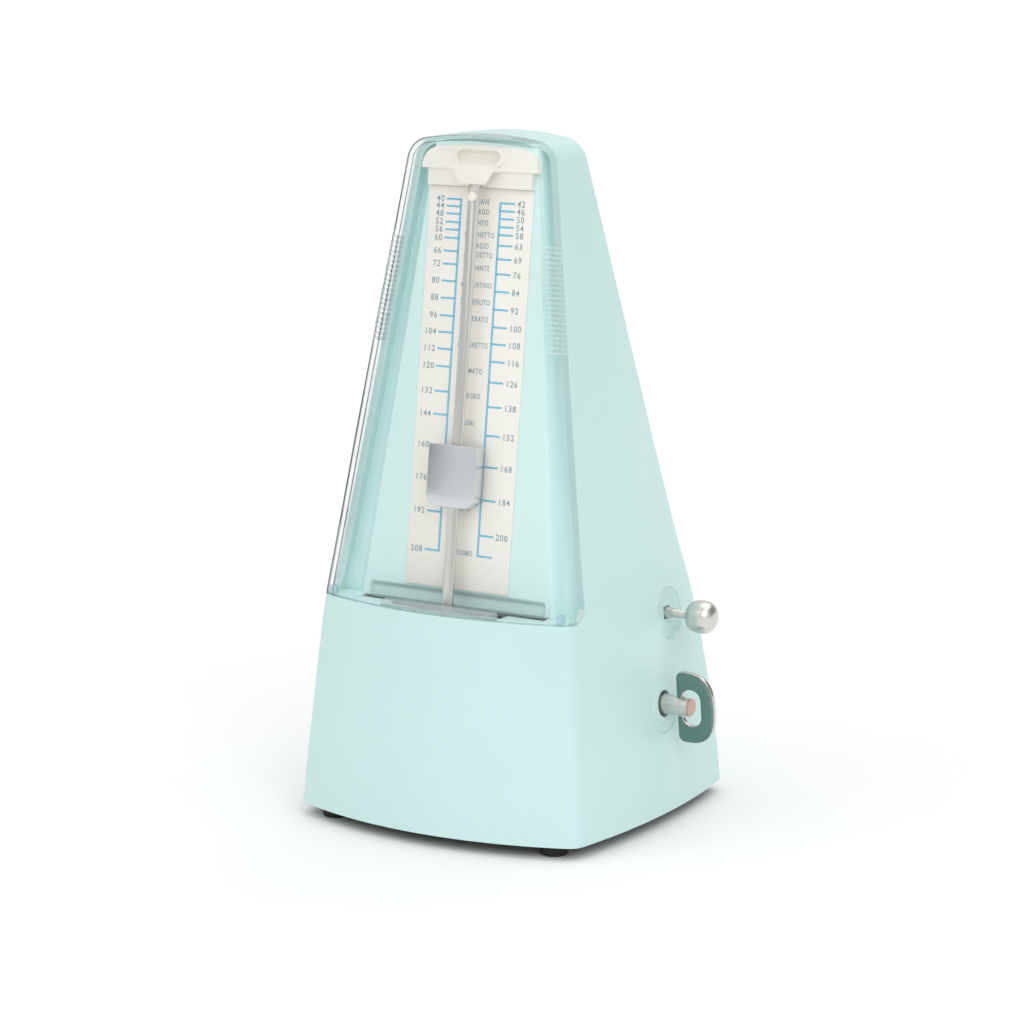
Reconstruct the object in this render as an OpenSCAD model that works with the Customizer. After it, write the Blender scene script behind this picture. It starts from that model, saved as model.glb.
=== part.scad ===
/* [Case] */
// Thickness of the moulded case wall
case_wall = 2.4; // [2.2:0.1:2.6]
// Height of the rubber feet
foot_h = 3.5; // [3:0.5:4]
// Diameter of each rubber foot
foot_d = 8.6; // [8:0.2:9]
// Spacing of the feet from side to side
foot_pitch = 80; // [78:1:81]
// Spacing of the feet from front to rear
foot_pitch_y = 85; // [84:0.5:86]

/* [Cover] */
// Thickness of the clear cover
cover_wall = 1.7; // [1.5:0.1:1.8]
// Gap between the cover and the case
cover_gap = 0.3; // [0.3:0.05:0.4]

/* [Dial] */
// Lean of the dial from upright, in degrees
dial_lean = 7.28; // [7.2:0.02:7.36]
// Width of the scale plate
plate_w = 37.2; // [36:0.2:38]
// Thickness of the scale plate
plate_t = 0.6; // [0.4:0.1:0.6]

/* [Pendulum] */
// Width of the pendulum rod
rod_w = 3.6; // [3.3:0.1:3.9]
// Thickness of the pendulum rod
rod_t = 1.1; // [0.9:0.1:1.1]
// Height of the pivot above the table
pivot_z = 46; // [45.8:0.1:46.2]
// Width of the sliding bob
bob_w = 17.3; // [16:0.1:18]
// Height of the sliding bob
bob_h = 19; // [17:0.5:20]
// Diameter of the counterweight
cw_d = 29.5; // [27:0.5:29.5]

/* [Key] */
// Diameter of the key stem
key_d = 6.4; // [6.2:0.1:7]
// Thickness of the key blade
blade_t = 1.6; // [1.4:0.1:1.8]
// Diameter of the keyhole in the case
keyhole_d = 8.5; // [8.2:0.1:9]

/* [Movement] */
// Distance from the middle to each movement plate's inner face
plate_x = 18.5; // [18.5:0.1:19]
// Thickness of the movement plates
mp_t = 1.5; // [1.2:0.1:1.6]
// Diameter of the selector rod
sel_d = 3.5; // [3.2:0.1:3.5]
// Diameter of the selector knob
knob_d = 10.5; // [9:0.5:11]

/* [Hidden] */
$fn = 48;

mint = [0.78, 0.92, 0.9];
ivory = [0.95, 0.93, 0.9];
steel = [0.74, 0.75, 0.76];
gold = [0.83, 0.67, 0.36];
dark = [0.12, 0.12, 0.13];

// Half-widths of the case and the y of its front and rear corners, by height
w_tab = [[0,50.9],[3.5,50.6],[20,49.4],[40,47.7],[60,46],[71,44.9],[85,42.6],[100,40.3],[120,37.3],[140,34.4],[160,31.6],[180,28.8],[200,26],[218,23.5]];
f_tab = [[0,47.3],[3.5,47],[20,45.7],[40,44],[60,42.3],[71,41.2],[85,39.9],[100,38.2],[120,36],[140,33.4],[160,30.6],[180,27.6],[200,24.8],[218,22.3]];
r_tab = [[0,47],[3.5,46.8],[20,45.6],[40,42.6],[60,38.2],[71,35.2],[85,31.4],[100,27.8],[120,23.3],[140,18.8],[160,14.2],[180,9.6],[200,4.9],[218,0.6]];
bow_f = 124;   // radius of the bowed front
bow_s = 250;   // radius of the bowed sides
bow_r = 290;   // radius of the bowed rear
shelf_z = 71;  // top of the lower front panel
T = tan(dial_lean);
dial_y0 = -33.4 - T*87.2;   // y of the scale plate's face at the table

// ---- outline of the case at a height, set in by i ----
function arcp(a, b, R, s) = let(c = norm(b - a), t = (b - a)/c, n = [t[1], -t[0]],
    h = sqrt(R*R - pow(c*(s - 0.5), 2)) - sqrt(R*R - c*c/4)) (a + b)/2 + t*c*(s - 0.5) + n*h;
function sidep(a, b, R, k, q) = let(c = norm(b - a), e = q/c) [for (j = [0:k]) arcp(a, b, R, e + (1 - 2*e)*j/k)];
function bez(p, c, q, k) = [for (j = [1:k-1]) let(u = j/k) (1-u)*(1-u)*p + 2*u*(1-u)*c + u*u*q];
function outline(z, i = 0) = let(w = lookup(z, w_tab) - 0.89*i, f = lookup(z, f_tab) - 0.72*i, r = lookup(z, r_tab) - 0.87*i,
    q = max(1.2, 3 - i), A = [-w, -f], B = [w, -f], C = [w, r], D = [-w, r],
    s1 = sidep(A, B, bow_f - i, 12, q), s2 = sidep(B, C, bow_s - i, 8, q), s3 = sidep(C, D, bow_r - i, 10, q), s4 = sidep(D, A, bow_s - i, 8, q))
    concat(s1, bez(s1[12], B, s2[0], 4), s2, bez(s2[8], C, s3[0], 4), s3, bez(s3[10], D, s4[0], 4), s4, bez(s4[8], A, s1[0], 4));
function lv(p, z) = [for (q = p) [q[0], q[1], z]];
module skin(secs) {
  n = len(secs[0]); m = len(secs);
  polyhedron(points = [for (s = secs) each s], convexity = 8, faces = concat(
    [[for (i = [0:n-1]) i]], [[for (i = [n-1:-1:0]) (m-1)*n + i]],
    [for (j = [0:m-2], i = [0:n-1]) [j*n + i, (j+1)*n + (i+1)%n, j*n + (i+1)%n]],
    [for (j = [0:m-2], i = [0:n-1]) [j*n + i, (j+1)*n + i, (j+1)*n + (i+1)%n]]));
}
zs = [20, 40, 60, 71, 85, 100, 120, 140, 160, 180, 200];
module body_of(i, z0, z1) skin([for (z = concat([z0], [for (q = zs) if (q > z0 + 1 && q < z1 - 1) q], [z1])) lv(outline(z, i), z)]);
// Arched top, extruded from front to back
module arch(i = 0) let(xc = 17.3, zc = 95 + sqrt(pow(111.5, 2) - 17.3*17.3), r = 8.5 - i,
    a0 = atan2(zc - 95, xc), top = [for (a = [a0 : (180 - 2*a0)/12 : 180.01 - a0]) [(120 - i)*cos(a), 95 + (120 - i)*sin(a)]],
    rc = [for (j = [0:5]) let(a = a0*j/6) [xc + r*cos(a), zc + r*sin(a)]])
  rotate([90, 0, 0]) linear_extrude(height = 200, center = true, convexity = 4)
    polygon(concat([[-80, -5], [80, -5], [80, 150]], rc, top, [for (j = [5:-1:0]) [-rc[j][0], rc[j][1]]], [[-80, 150]]));
// Space in front of the case: above the shelf and ahead of the dial edge
module front_space(o = 0) let(r = 6 - o, c = [-39.43, 77])
  translate([-80, 0, 0]) rotate([90, 0, 90]) linear_extrude(height = 160, convexity = 4)
    polygon(concat([[-95, shelf_z + o]], [for (j = [0:6]) let(a = -90 + (90 - dial_lean)*j/6) c + r*[cos(a), sin(a)]],
      [c + r*[cos(-dial_lean), sin(-dial_lean)] + 160*[sin(dial_lean), cos(dial_lean)], [-95, 240]]));

// ---- helpers ----
module ax(x, p) translate([x, p[0], p[1]]) rotate([90, 0, 90]) children();
module xcyl(x0, x1, p, r, f = 48) ax(x0, p) cylinder(h = x1 - x0, r = r, $fn = f);
module dial() translate([0, dial_y0, 0]) rotate([-dial_lean, 0, 0]) children();
function dz(z) = z/cos(dial_lean);
module tooth_wheel(N, m, ph, th) linear_extrude(height = th, convexity = 6) polygon([for (i = [0:N-1], q = [
    [-0.29, -1.2], [-0.215, 0], [-0.10, 0.9], [0.10, 0.9], [0.215, 0], [0.29, -1.2]])
    let(a = ph + 360*(i + q[0])/N, r = N*m/2 + q[1]*m) r*[cos(a), sin(a)]]);
module screw_z(x, y, z, dir, rh, hh, rs, len) translate([x, y, z]) mirror([0, 0, dir > 0 ? 0 : 1]) difference() {
  union() { cylinder(h = hh, r = rh, $fn = 32); translate([0, 0, -len]) cylinder(h = len + 0.1, r = rs, $fn = 24); }
  translate([-rh - 1, -0.4, hh - 0.6]) cube([2*rh + 2, 0.8, 1]);
}
module screw_x(x, p, dir, rh, hh, rs, len) translate([x, p[0], p[1]]) mirror([dir > 0 ? 0 : 1, 0, 0]) rotate([90, 0, 90]) difference() {
  union() { cylinder(h = hh, r = rh, $fn = 32); translate([0, 0, -len]) cylinder(h = len + 0.1, r = rs, $fn = 24); }
  translate([-rh - 1, -0.4, hh - 0.5]) cube([2*rh + 2, 0.8, 1]);
}

// ---- axes of the movement, as [y, z] ----
B = [5.5, 38];                                     // barrel and key
P2 = B + 24*[cos(148), sin(148)];                  // second arbor
E = P2 + 21.6*[cos(250), sin(250)];                // escape arbor
C = P2 + 21.6*[cos(-4), sin(-4)];                  // cam arbor
S = [15.2, 64.8];                                  // selector rod
pillars = [[-32.4, 14], [24, 14], [26, 52], [-6, 71]];
pivot = [dial_y0 + T*46 - 4.2/cos(dial_lean), pivot_z];
cam_x = [-13, -10, -7, -4];
cam_n = [12, 8, 6, 4];
module staff_frame() translate([0, pivot[0], pivot[1]]) rotate([-dial_lean, 0, 0]) children();  // local y runs along the staff, into the case
base_bolts = [[41, 25], [-41, 25], [42, -26], [-42, -26]];

// ---- case ----
module case_shell() color(mint) {
  difference() {
    resize([0, 0, 0]) difference() {
      union() {
        difference() {
          intersection() { body_of(0, foot_h, 217); arch(0); }
          intersection() { body_of(case_wall, foot_h - 2, 217); arch(case_wall); }
          front_space(0);
        }
        intersection() {
          body_of(0.8, foot_h + 2.8, 40);
          union() for (b = base_bolts) {
            translate([b[0], b[1], foot_h + 2.8]) cylinder(h = 18, r = 3.5, $fn = 24);
            translate([b[0], b[1] - 1, foot_h + 2.8]) mirror([b[0] > 0 ? 0 : 1, 0, 0]) cube([20, 2, 18]);
          }
        }
      }
    }
    // keyhole and its round dish
    xcyl(40, 60, B, keyhole_d/2);
    translate([52.1, B[0], B[1]]) rotate([0, 90 - 4.9, 0]) translate([0, 0, -0.9]) difference() { cylinder(h = 6, r = 9.5, $fn = 64); translate([0, 0, -1]) cylinder(h = 1.7, r = 6, $fn = 48); }
    // selector opening and its round dish
    translate([40, S[0] - 2, S[1] - 2]) cube([12, 4, 4]);
    translate([48, S[0], S[1]]) rotate([0, 90 - 4.9, 0]) translate([0, 0, -1.2]) cylinder(h = 6, r = 8.35, $fn = 64);
    for (b = base_bolts) translate([b[0], b[1], foot_h]) cylinder(h = 14, r = 1.25, $fn = 24);
  }
}
xp0 = 32.8;
function xp(zq) = xp0 - 0.1184*(zq - 85.7);
module dial_loft(pts0, z0, pts1, z1) skin([[for (p = pts0) [p[0], p[1], z0]], [for (p = pts1) [p[0], p[1], z1]]]);
function chain(x) = [[-60, 5], [-x - 3.8, 5], [-x - 2.2, 4], [-x - 0.9, 1.7], [-x, plate_t], [x, plate_t], [x + 0.9, 1.7], [x + 2.2, 4], [x + 3.8, 5], [60, 5]];
function rev(p) = [for (i = [len(p)-1:-1:0]) p[i]];
module dial_panel() color(mint) resize([0, 0, 0]) intersection() {
  difference() {
    union() {
      dial() difference() {
        dial_loft(concat(chain(xp(70)), [[60, 7.2], [-60, 7.2]]), 69, concat(chain(xp(216)), [[60, 7.2], [-60, 7.2]]), 216);
        dial_loft([[-xp(80) + 3, 2.8], [xp(80) - 3, 2.8], [xp(80) - 1, 9], [-xp(80) + 1, 9]], 80,
                  [[-xp(210) + 3, 2.8], [xp(210) - 3, 2.8], [xp(210) - 1, 9], [-xp(210) + 1, 9]], 210);
        // recess along the foot of the raised dial
        translate([-31.6, -2, dz(shelf_z) - 1]) cube([63.2, 6.8, 5.3]);
      }
      // shelf
      intersection() {
        translate([-60, -70, shelf_z - 2.4]) cube([120, 80, 2.4]);
        dial() translate([-60, -40, 0]) cube([120, 46.8, 100]);
      }
    }
    // slot for the pendulum
    translate([-33.5, -38.2, shelf_z - 4]) cube([67, 5.2, 4.5]);
    translate([-21, -45.6, shelf_z - 4]) cube([42, 8, 8]);
  }
  body_of(case_wall + 0.02, shelf_z - 2.4, 216);
  arch(case_wall + 0.02);
}
module scale_plate() color(ivory) dial() translate([-plate_w/2, 0, 77]) cube([plate_w, plate_t, 123.3]);
module rod_holder() color(ivory) {
  difference() {
    union() {
      dial() translate([-plate_w/2, -1.6, 200.4]) cube([plate_w, 1.6 + plate_t, 6.6]);
      // arched cap
      dial() translate([0, plate_t, 0]) rotate([90, 0, 0]) linear_extrude(height = 2.2 + plate_t) intersection() {
        union() {
          intersection() { translate([0, 94]) circle(r = 119.2, $fn = 180); translate([-14.6, 200]) square([29.2, 20]); }
          for (a = [-1, 1]) translate([a*14.6, 206.25]) circle(r = 6);
          translate([-20.6, 200]) square([41.2, 6.25]);
        }
        translate([-21, 205.5]) square([42, 10]);
      }
      // shroud and tab in front of the rod's tip
      dial() translate([-7.5, -5.85, 205.1]) cube([15, 5.85, 1.6]);
      dial() translate([0, -5.1, 0]) rotate([90, 0, 0]) linear_extrude(height = 0.75) polygon([[-7, 206.7], [7, 206.7], [7, 205.1], [4.6, 201.2], [-4.6, 201.2], [-7, 205.1]]);
      dial() translate([0, 0, 0]) rotate([90, 0, 0]) linear_extrude(height = 3.2) union() {
        translate([-6, 206.6]) square([12, 6]); translate([-6, 209.6]) circle(r = 3); translate([6, 209.6]) circle(r = 3); }
    }
    dial() rotate([90, 0, 0]) translate([0, 0, 1]) linear_extrude(height = 4) union() {
      translate([-5.8, 207.6]) square([11.6, 4]); translate([-5.8, 209.6]) circle(r = 2); translate([5.8, 209.6]) circle(r = 2); }
  }
}
module clear_cover() color([0.85, 0.95, 0.97, 0.35]) resize([0, 0, 0]) union() {
  intersection() {
    difference() {
      union() {
        intersection() { body_of(0, 50, 217); arch(0); }
        // finger grips on both flanges
        intersection() { body_of(-0.35, 145, 190); union() for (i = [0:21]) dial() translate([-60, -60, 151.8 + 1.5*i]) cube([120, 60.5, 0.7]); translate([-80, -36, 140]) cube([160, 60, 60]);
          difference() { cube([200, 200, 500], center = true); translate([-26, -60, 0]) cube([52, 80, 300]); } }
      }
      intersection() { body_of(cover_wall, 50, 217); arch(cover_wall); }
    }
    front_space(cover_gap);
  }
  // grip ridges across the top
  intersection() { arch(-0.3); difference() { translate([-12.5, -25.6, 205]) cube([25, 8, 12]); arch(0.6); }
    union() for (i = [0:16]) translate([-12.35 + 1.5*i, -40, 200]) cube([0.7, 40, 20]); }
  // tongue that drops into the shelf slot
  intersection() {
    union() {
      translate([-20.3, -45.2, shelf_z - 3.8]) cube([40.6, 1.4, 5.5]);
      translate([-20.2, -52, shelf_z + 0.47]) cube([40.4, 8.9, 1.4]);
    }
    body_of(0.5, shelf_z - 6, 100);
  }
  // locating lugs at the lower corners
  for (s = [-1, 1]) intersection() { translate([s*41.2 - 1, -44, shelf_z + 0.52]) cube([2, 4.4, 2.7]); body_of(0.5, shelf_z - 6, 100); }
}
module base_plate() color(dark) {
  difference() {
    union() {
      resize([0, 0, 0]) skin([lv(outline(3.5, 2.75), foot_h), lv(outline(3.5, 2.75), foot_h + 2.5)]);
    }
    for (b = base_bolts) translate([b[0], b[1], 0]) { cylinder(h = 12, r = 1.6, $fn = 24); translate([0, 0, foot_h - 1]) cylinder(h = 2.2, r = 3.1, $fn = 32); }
    for (s = [-1, 1], y = [-24, 16]) translate([s*26, y, 0]) cylinder(h = 12, r = 1.25, $fn = 24);
    for (p = [[0, -33.6], [6.5, -12]]) translate([p[0], p[1], 0]) cylinder(h = 12, r = 1.05, $fn = 24);
    for (x = [-1, 1], y = [-1, 1]) translate([x*foot_pitch/2, y*foot_pitch_y/2, 0]) cylinder(h = 12, r = 1.6, $fn = 24);
  }
}
module rubber_feet() color(dark) for (x = [-1, 1], y = [-1, 1]) translate([x*foot_pitch/2, y*foot_pitch_y/2, 0]) {
  cylinder(h = foot_h, r = foot_d/2, $fn = 48); cylinder(h = foot_h + 2.6, r = 1.6, $fn = 24); translate([0, 0, foot_h + 2.5]) cylinder(h = 1, r = 2.4, $fn = 32); }
module base_screws() color(steel) for (b = base_bolts) screw_z(b[0], b[1], foot_h + 1.2, -1, 2.9, 1.1, 1.25, 12);

// ---- movement frame ----
plate_pts = [[-40, 12], [-34, 7.5], [26, 7.5], [32, 14], [32, 56], [24, 71], [18, 76], [-12, 77], [-24, 66], [-36, 58], [-40, 50]];
module movement_plate(side) color(gold) {
  x0 = side > 0 ? plate_x : -plate_x - mp_t;
  difference() {
    union() {
      ax(x0, [0, 0]) linear_extrude(height = mp_t) polygon(plate_pts);
      translate([side > 0 ? x0 : x0 - 12, -32, foot_h + 2.5]) cube([mp_t + 12, 56, 1.5]);
    }
    xcyl(x0 - 1, x0 + 3, B, 2.55); xcyl(x0 - 1, x0 + 3, P2, 1.05, 32); xcyl(x0 - 1, x0 + 3, E, 1.05, 32);
    if (side < 0) xcyl(x0 - 1, x0 + 3, C, 1.05, 32);
    xcyl(x0 - 1, x0 + 3, S, sel_d/2 + 0.05);
    for (p = pillars) xcyl(x0 - 1, x0 + 3, p, 1.3, 24);
    if (side < 0) for (p = [[15, 38], [20, 56]]) xcyl(x0 - 1, x0 + 3, p, 1.3, 24);
    if (side > 0) xcyl(x0 - 1, x0 + 3, [22, 30], 1.0, 32);
    if (side > 0) xcyl(x0 - 1, x0 + 3, [14, 55], 0.9, 24);
    for (y = [-24, 16]) translate([side*26, y, foot_h]) cylinder(h = 8, r = 1.35, $fn = 24);
    ax(x0 - 1, [0, 0]) linear_extrude(height = 5) polygon([[-30, 44], [-25, 54], [-26, 40]]);
  }
}
module movement_plate_left() movement_plate(-1);
module movement_plate_right() movement_plate(1);
module movement_pillars() color(gold) for (i = [0:3]) difference() { xcyl(-plate_x, plate_x, pillars[i], 2.5); 
  xcyl(-plate_x - 1, -plate_x + 6, pillars[i], 1.2, 24); xcyl(plate_x - 6, plate_x + 1, pillars[i], 1.2, 24);
  if (i == 3) translate([-4, -6, 68]) cylinder(h = 10, r = 1.2, $fn = 24); }
module pillar_screws() color(steel) for (p = pillars, s = [-1, 1]) screw_x(s*(plate_x + mp_t), p, s, 2.2, 1.2, 1.2, mp_t + 4);
module plate_screws() color(steel) for (s = [-1, 1], y = [-24, 16]) screw_z(s*26, y, foot_h + 4, 1, 2.3, 1.4, 1.25, 4);
function sp(q, t) = [pivot[0] + q*cos(dial_lean) + t*sin(dial_lean), pivot[1] - q*sin(dial_lean) + t*cos(dial_lean)];
function sz(q, z) = sp(q, (z - pivot[1] + q*sin(dial_lean))/cos(dial_lean));
module staff_bracket(q, x0, x1, y1, h, sx, sy) color(steel) difference() {
  union() {
    ax(x0, [0, 0]) linear_extrude(height = x1 - x0) polygon([sz(q, foot_h + 2.5), sp(q, h), sp(q + 1.5, h), sz(q + 1.5, foot_h + 4), [y1, foot_h + 4], [y1, foot_h + 2.5]]);
    if (x0 > 0) ax(-4, [0, 0]) linear_extrude(height = x1 + 4) polygon([sp(q, -4), sp(q, 4), sp(q + 1.5, 4), sp(q + 1.5, -4)]);
  }
  staff_frame() rotate([-90, 0, 0]) cylinder(h = 60, r = 1.54, $fn = 32);
  translate([sx, sy, 0]) cylinder(h = 12, r = 1.1, $fn = 24);
}
module staff_bracket_front() staff_bracket(9, -6, 6, -30, 4, 0, -33.6);
module staff_bracket_rear() staff_bracket(30, 3, 10, -8.5, -4, 6.5, -12);
module bracket_screws() color(steel) { screw_z(0, -33.6, foot_h + 4, 1, 2.1, 1.2, 1.05, 3.8); screw_z(6.5, -12, foot_h + 4, 1, 2.1, 1.2, 1.05, 3.8); }

// ---- bell ----
module bell() color(gold) translate([-4, -6, 0]) rotate_extrude($fn = 64) polygon([[1.6, 89], [6, 88.8], [10, 87.6], [13.4, 85.2], [15.8, 81.8], [17, 78], [16, 78], [14.8, 81.2], [12.6, 84.2], [9.6, 86.4], [6, 87.6], [1.6, 87.8]]);
module bell_post() color(steel) translate([-4, -6, 0]) difference() { union() { translate([0, 0, 68.6]) cylinder(h = 23.4, r = 1.2, $fn = 24); translate([0, 0, 73.8]) cylinder(h = 13.9, r = 2.6, $fn = 32); } }
module bell_nut() color(steel) translate([-4, -6, 89]) difference() { cylinder(h = 2.2, r = 2.9, $fn = 6); translate([0, 0, -1]) cylinder(h = 5, r = 1.2, $fn = 24); }

// ---- cam cock, click and springs on the plates ----
module cam_cock() color(gold) difference() {
  ax(-2, [0, 0]) linear_extrude(height = 1.2) hull() { translate([15, 38]) circle(r = 3.6); translate([20, 56]) circle(r = 3.6); translate(C) circle(r = 3.6); }
  xcyl(-4, 1, C, 1.05, 32); for (p = [[15, 38], [20, 56]]) xcyl(-4, 1, p, 1.25, 24);
}
module cam_cock_posts() color(gold) for (p = [[15, 38], [20, 56]]) { xcyl(-plate_x, -2, p, 2); xcyl(-plate_x - mp_t - 1, 0.4, p, 1.2, 24); xcyl(-0.8, 0.6, p, 2, 6); xcyl(-plate_x - mp_t - 1.4, -plate_x - mp_t, p, 2, 6); }
click_p = [22, 30];
module click() color(steel) difference() {
  union() { xcyl(15.2, 16.6, click_p, 2.4); ax(15.2, [0, 0]) linear_extrude(height = 1.4) polygon([[21.5, 32.2], [16.4, 36.4], [15.4, 35.8], [15.9, 34.2], [20.2, 28.6]]); }
  xcyl(14, 18, click_p, 1.03, 32);
}
module click_stud() color(steel) { xcyl(14.4, plate_x + mp_t, click_p, 1.0, 32); xcyl(14, 15.1, click_p, 1.9, 32); xcyl(16.8, plate_x, click_p, 1.9, 32); }
module click_spring() color(steel) { ax(17.2, [0, 0]) linear_extrude(height = 0.6) polygon([for (j = [0:10]) [26 - 0.7*j, 38 - 0.2*j + 0.02*j*j], for (j = [10:-1:0]) [26 - 0.7*j, 38.5 - 0.2*j + 0.02*j*j]]);
  xcyl(17.0, plate_x, [26, 38.25], 1.0, 32); }
module detent_spring() color(steel) { xcyl(14.5, plate_x + 0.2, [14, 55], 0.9, 24); xcyl(14.5, 15.3, [14, 55], 1.8, 32);
  ax(15.4, [0, 0]) linear_extrude(height = 2.4) polygon([[11.6, 56], [12.2, 56], [12.9, 63.6], [12.6, 66], [12.1, 66], [12.3, 63.6]]);
  ax(15.4, [0, 0]) linear_extrude(height = 2.4) polygon([[11.6, 56], [15.8, 56], [15.8, 55.9], [15.8, 54], [11.6, 54]]); }

// ---- winding arbor and key ----
module winding_arbor() color(steel) { xcyl(-plate_x - mp_t - 1, 48.5, B, 2.5); xcyl(-1.2, 1.9, B, 3.4); xcyl(12.2, 12.4, B, 2.5); }
module ratchet_wheel() color(steel) difference() {
  ax(14.9, B) linear_extrude(height = 1.8) polygon([for (i = [0:19], q = [[0, 8.4], [0.08, 8.5], [0.1, 7.1]]) let(a = 360*(i + q[0])/20) q[1]*[cos(a), sin(a)]]);
  xcyl(14, 18, B, 2.5);
}
key_turn = 7;   // angle the key is left at
module key_frame() translate([0, B[0], B[1]]) rotate([key_turn, 0, 0]) children();
module key_stem() color(steel) difference() {
  union() { xcyl(43, 58.2, B, key_d/2); xcyl(58.2, 60.6, B, key_d/2 - 0.3); }
  xcyl(42, 48.5, B, 2.5);
  key_frame() translate([56.45, -blade_t/2, -8]) cube([1.85, blade_t, 16]);
}
// rounded loop of the key, as [x, z] about the winding axis
loop = concat([for (j = [0:4]) let(a = 180 - 22.5*j) [58.7 + 2.2*cos(a), 9.4 + 2.2*sin(a)]],
  [for (j = [0:22]) let(a = 88 - 8*j) [60 + 9.45*pow(cos(a), 0.77), 11.6*sign(a)*pow(abs(sin(a)), 0.77)]],
  [for (j = [0:4]) let(a = -90 - 22.5*j) [58.7 + 2.2*cos(a), -9.4 + 2.2*sin(a)]]);
module key_blade() color(steel) key_frame() translate([0, blade_t/2, 0]) rotate([90, 0, 0]) difference() {
  linear_extrude(height = blade_t) polygon(loop);
  translate([0, 0, -1]) linear_extrude(height = 5) union() { translate([58.2, -2.75]) square([6.5, 5.5]); for (z = [-2.75, 2.75]) translate([61.45, z]) circle(r = 3.25, $fn = 48); }
}
module key_cap() color(gold) difference() { xcyl(60.6, 61.2, B, 2.75); }

// ---- barrel ----
module barrel_drum() color(gold) difference() {
  xcyl(2, 11, B, 16, 64);
  xcyl(3, 12, B, 15, 64); xcyl(0, 4, B, 2.55);
}
module barrel_cover() color(gold) difference() { xcyl(11, 11.8, B, 16, 64); xcyl(10, 13, B, 2.55); }
ph_g = 148;
module great_wheel() color(gold) difference() { ax(11.8, B) tooth_wheel(50, 0.8, ph_g, 1.8); xcyl(11, 15, B, 2.55); }
module mainspring() color(steel) ax(3.6, B) linear_extrude(height = 6.8) let(n = 150, t = 8) polygon(concat(
  [for (j = [0:n]) let(a = 360*t*j/n, r = 3.0 + 11.4*j/n) r*[cos(a), sin(a)]], [for (j = [n:-1:0]) let(a = 360*t*j/n, r = 3.35 + 11.4*j/n) r*[cos(a), sin(a)]]));

// ---- second arbor and wheel ----
ph_p2 = 148 + 180 + 18;
module second_arbor() color(steel) { xcyl(-plate_x - mp_t - 0.4, plate_x + mp_t + 0.4, P2, 1.0, 32); xcyl(-plate_x + 0.3, plate_x - 0.3, P2, 1.6, 32); ax(10.8, P2) tooth_wheel(10, 0.8, ph_p2, 4); }
ph_w2 = 250;
module second_wheel() color(gold) difference() {
  ax(-17.2, P2) tooth_wheel(60, 0.6, ph_w2, 1.5);
  xcyl(-18, -15, P2, 1.6, 32);
  for (i = [0:4]) ax(-18, P2) rotate(36 + 72*i) translate([10, 0]) cylinder(h = 4, r = 4.2);
}

// ---- escape ----
module escape_arbor() color(steel) { xcyl(-plate_x - mp_t - 0.4, plate_x + mp_t + 0.4, E, 1.0, 32); xcyl(-plate_x + 0.3, plate_x - 0.3, E, 1.4, 32); ax(-17.8, E) tooth_wheel(12, 0.6, 250 + 180 + 15, 2.8); }
module escape_wheel() color(gold) difference() {
  union() { ax(-0.7, E) linear_extrude(height = 1.4) polygon([for (i = [0:14], q = [[0, 9], [0.12, 9], [0.3, 7.2], [0.8, 6.6]]) let(a = 360*(i + q[0])/15) q[1]*[cos(a), sin(a)]]); xcyl(-2.2, 2.2, E, 2.6, 32); }
  xcyl(-4, 4, E, 1.4, 32);
}

// ---- cams ----
// the second wheel has a tooth at 250 degrees and a tooth every 6 degrees
ph_c = 250 + 6*ceil((356 - 250)/6) - 356;   // how far past the cam arbor the next tooth lies
module cam_arbor() color(steel) { xcyl(-plate_x - mp_t - 0.4, -0.9, C, 1.0, 32); xcyl(-plate_x + 0.3, -2.3, C, 1.4, 32); ax(-17.8, C) tooth_wheel(12, 0.6, 356 + 180 + 15 - 5*ph_c, 2.8); }
module cam_stack() color(gold) difference() {
  union() { for (i = [0:3]) ax(cam_x[i] - 0.8, C) linear_extrude(height = 1.6) let(n = cam_n[i]) polygon([for (j = [0:n-1], q = [[0, 4.2], [0.62, 4.2], [0.7, 6], [0.86, 6]]) let(a = 360*(j + q[0])/n) q[1]*[cos(a), sin(a)]]);
    xcyl(-14.6, -2.6, C, 2.6); }
  xcyl(-16, 0, C, 1.4, 32);
}

// ---- selector and hammer ----
knob_x = 59.2;
module selector_rod() color(steel) difference() {
  union() { xcyl(-plate_x - mp_t - 3, 49, S, sel_d/2); xcyl(48, 56.2, S, 1.35); }
  for (i = [0:4]) ax(16.3 - 3*i, S) translate([0, 0, -0.35]) difference() { cylinder(h = 0.7, r = 3, $fn = 48); translate([0, 0, -1]) cylinder(h = 3, r = sel_d/2 - 0.3, $fn = 48); }
}
module selector_knob() color(steel) difference() {
  ax(knob_x, S) rotate_extrude($fn = 64) polygon(concat([[0, -4.4]], [for (j = [0:18]) let(h = -4.4 + 9.35*(1 - pow(1 - j/18, 1.8))) [max(0.02, knob_d/2*pow(max(0, 1 - pow(abs(h)/4.96, 2.5)), 0.4)), h]], [[0, 4.95]]));
  xcyl(50, 56.2, S, 1.35);
}
module hammer_collars() color(gold) for (x = [-18.2, -14.85]) difference() { xcyl(x, x + 1, S, 3); xcyl(x - 1, x + 3, S, sel_d/2); }
module hammer_arm() color(steel) difference() {
  union() {
    xcyl(-17.1, -14.95, S, 3);
    ax(-16.7, [0, 0]) linear_extrude(height = 1.4) polygon([[13.6, 66], [13.6, 78.6], [15.4, 78.6], [16.8, 66]]);
    ax(-16.7, [0, 0]) linear_extrude(height = 1.4) polygon([S + [-2.6, 0], S + [2.6, 0], S + 9.6*[-0.478, -0.878] + [0.9, 0], S + 9.6*[-0.478, -0.878] + [-0.9, 0]]);
  }
  xcyl(-19, -12, S, sel_d/2 + 0.04);
}
module hammer_head() color(gold) difference() { xcyl(-18.2, -2, [14.5, 80.4], 1.8, 32); }

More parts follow.
